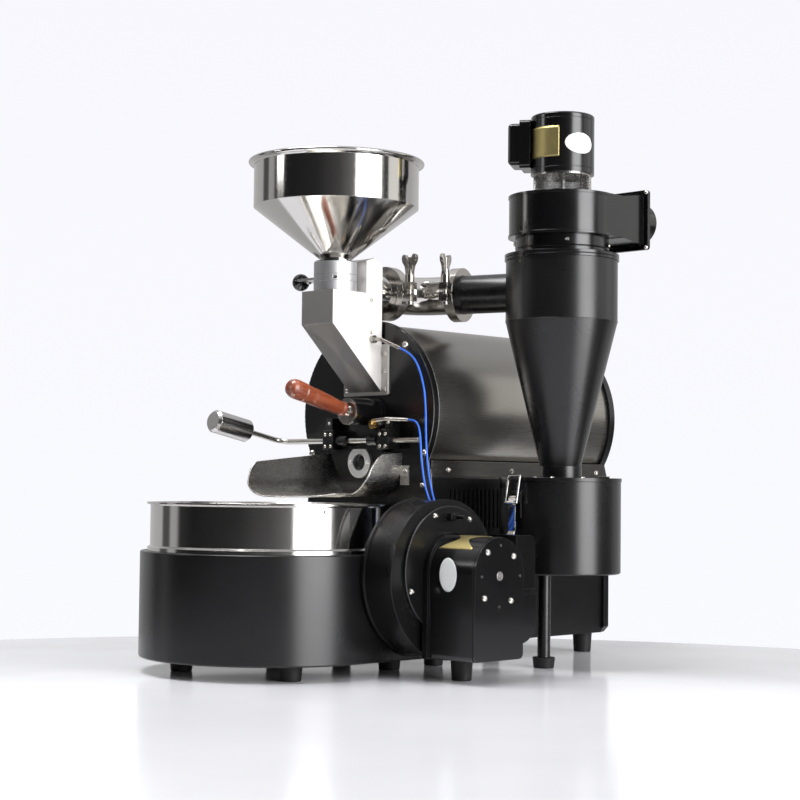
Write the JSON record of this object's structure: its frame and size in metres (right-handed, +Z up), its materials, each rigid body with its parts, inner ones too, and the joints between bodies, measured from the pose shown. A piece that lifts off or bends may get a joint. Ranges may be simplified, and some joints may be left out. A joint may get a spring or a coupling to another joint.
{
  "type": "coffee bean roaster",
  "caption": "Tabletop drum coffee roaster with funnel hopper, trier, counterweighted discharge door, round cooling tray with side blower, and a chaff cyclone under a top blower.",
  "frame": {"origin": "bottom centre of the bounding box, on the surface the feet stand on", "axes": "+Z up, -Y towards the operator (front plate and cooling tray), +X the machine's right, where the cyclone and cooling blower stand"},
  "size_m": [0.4419, 0.772, 0.683],
  "materials": {
    "stainless": "brushed stainless sheet",
    "polished": "polished stainless",
    "black_paint": "satin black powder coat",
    "alu": "machined",
    "steel": "plain steel",
    "rubber": "matt",
    "wood": "lacquered red-brown hardwood",
    "black_plastic": "matt",
    "blue_wire": "satin",
    "brass": "turned",
    "screw": "bright zinc"
  },
  "bodies": {
    "frame": {"housing": "black_paint", "front_plate": "black_paint", "rear_plate": "black_paint", "drum_shell": "stainless", "drum_drive": "black_paint", "burner": "steel", "control_panel": "stainless", "cable_inlets": "black_plastic", "hopper": "polished", "gate_collar": "alu", "charge_chute": "stainless", "exhaust_elbow": "polished", "pipe_clamps": "polished", "inlet_pipe": "black_paint", "cyclone_body": "black_paint", "cyclone_top_ring": "black_paint", "can_lid": "black_paint", "chaff_can": "black_paint", "can_pole": "black_paint", "top_scroll": "black_paint", "mesh_guard": "steel", "top_motor": "black_paint", "terminal_box": "black_plastic", "tray_base": "black_paint", "cooling_pan": "polished", "perforated_floor": "stainless", "stir_motor": "steel", "cooling_scroll": "black_paint", "scroll_cover": "black_paint", "cooling_motor": "black_paint", "motor_face_plate": "black_paint", "rubber_feet": "rubber", "trier_sleeve": "black_paint", "door_bearing_blocks": "black_paint", "discharge_chute": "stainless", "temperature_probes": "stainless", "probe_wire_upper": "blue_wire", "probe_wire_lower": "blue_wire", "fasteners": "screw"},
    "drum_body": {"drum": "steel", "drum_shaft": "steel"},
    "gate_body": {"charge_gate": "stainless"},
    "trier_body": {"trier_spoon": "polished", "trier_handle": "wood"},
    "door_body": {"discharge_door": "black_paint", "door_rod": "stainless", "counterweight": "polished", "sight_ring": "alu"},
    "top_fan_body": {"top_impeller": "alu"},
    "cooling_fan_body": {"cooling_impeller": "alu"},
    "stirrer_body": {"stirrer": "stainless"},
    "latch_a_body": {"latch_lever_a": "polished"},
    "latch_b_body": {"latch_lever_b": "polished"},
    "loop_a_body": {"latch_loop_a": "polished"},
    "loop_b_body": {"latch_loop_b": "polished"},
    "wing_front_body": {"wing_nut_front": "polished"},
    "wing_rear_body": {"wing_nut_rear": "polished"},
    "switch_roast_body": {"switch_roast": "black_plastic"},
    "switch_cool_body": {"switch_cool": "black_plastic"},
    "knob_body": {"heat_knob": "black_plastic"}
  },
  "joints": [
    {"name": "drum_spin", "type": "hinge", "parent": "frame", "child": "drum_body", "pos_m": [-0.0613, 0.128, 0.313], "axis": [0, 1, 0], "continuous": true},
    {"name": "top_fan_spin", "type": "hinge", "parent": "frame", "child": "top_fan_body", "pos_m": [0.1417, 0.065, 0.56], "axis": [0, 0, 1], "continuous": true},
    {"name": "cooling_fan_spin", "type": "hinge", "parent": "frame", "child": "cooling_fan_body", "pos_m": [0.1287, -0.136, 0.125], "axis": [1, 0, 0], "continuous": true},
    {"name": "stirrer_spin", "type": "hinge", "parent": "frame", "child": "stirrer_body", "pos_m": [-0.0613, -0.235, 0.16], "axis": [0, 0, 1], "continuous": true},
    {"name": "gate_slide", "type": "slide", "parent": "frame", "child": "gate_body", "axis": [-1, 0, 0], "range_m": [0, 0.038]},
    {"name": "trier_slide", "type": "slide", "parent": "frame", "child": "trier_body", "axis": [0, -1, 0], "range_m": [0, 0.1]},
    {"name": "door_swing", "type": "hinge", "parent": "frame", "child": "door_body", "pos_m": [-0.0613, -0.085, 0.277], "axis": [-1, 0, 0], "range_deg": [0, 50]},
    {"name": "latch_a_flip", "type": "hinge", "parent": "frame", "child": "latch_a_body", "pos_m": [0.13473, -0.0147, 0.208], "axis": [-0.9962, 0.0872, 0], "range_deg": [0, 120]},
    {"name": "latch_b_flip", "type": "hinge", "parent": "frame", "child": "latch_b_body", "pos_m": [0.14867, 0.1447, 0.208], "axis": [0.9962, -0.0872, 0], "range_deg": [0, 120]},
    {"name": "loop_a_swing", "type": "hinge", "parent": "latch_a_body", "child": "loop_a_body", "pos_m": [0.13427, -0.01988, 0.202], "axis": [-0.9962, 0.0872, 0], "range_deg": [-120, 0]},
    {"name": "loop_b_swing", "type": "hinge", "parent": "latch_b_body", "child": "loop_b_body", "pos_m": [0.14913, 0.14988, 0.202], "axis": [0.9962, -0.0872, 0], "range_deg": [-120, 0]},
    {"name": "wing_front_turn", "type": "hinge", "parent": "frame", "child": "wing_front_body", "pos_m": [-0.0213, -0.038, 0.48], "axis": [0, 0, 1], "continuous": true},
    {"name": "wing_rear_turn", "type": "hinge", "parent": "frame", "child": "wing_rear_body", "pos_m": [0.01372, -0.00945, 0.48], "axis": [0, 0, 1], "continuous": true},
    {"name": "switch_roast_rock", "type": "hinge", "parent": "frame", "child": "switch_roast_body", "pos_m": [-0.1683, 0.169, 0.15], "axis": [0, 1, 0], "range_deg": [-10, 10]},
    {"name": "switch_cool_rock", "type": "hinge", "parent": "frame", "child": "switch_cool_body", "pos_m": [-0.1683, 0.207, 0.15], "axis": [0, 1, 0], "range_deg": [-10, 10]},
    {"name": "heat_knob_turn", "type": "hinge", "parent": "frame", "child": "knob_body", "pos_m": [-0.1713, 0.188, 0.092], "axis": [-1, 0, 0], "range_deg": [0, 270]}
  ],
  "couplings": [
    {"joint": "loop_a_swing", "follows": "latch_a_flip", "ratio": -1},
    {"joint": "loop_b_swing", "follows": "latch_b_flip", "ratio": -1}
  ]
}
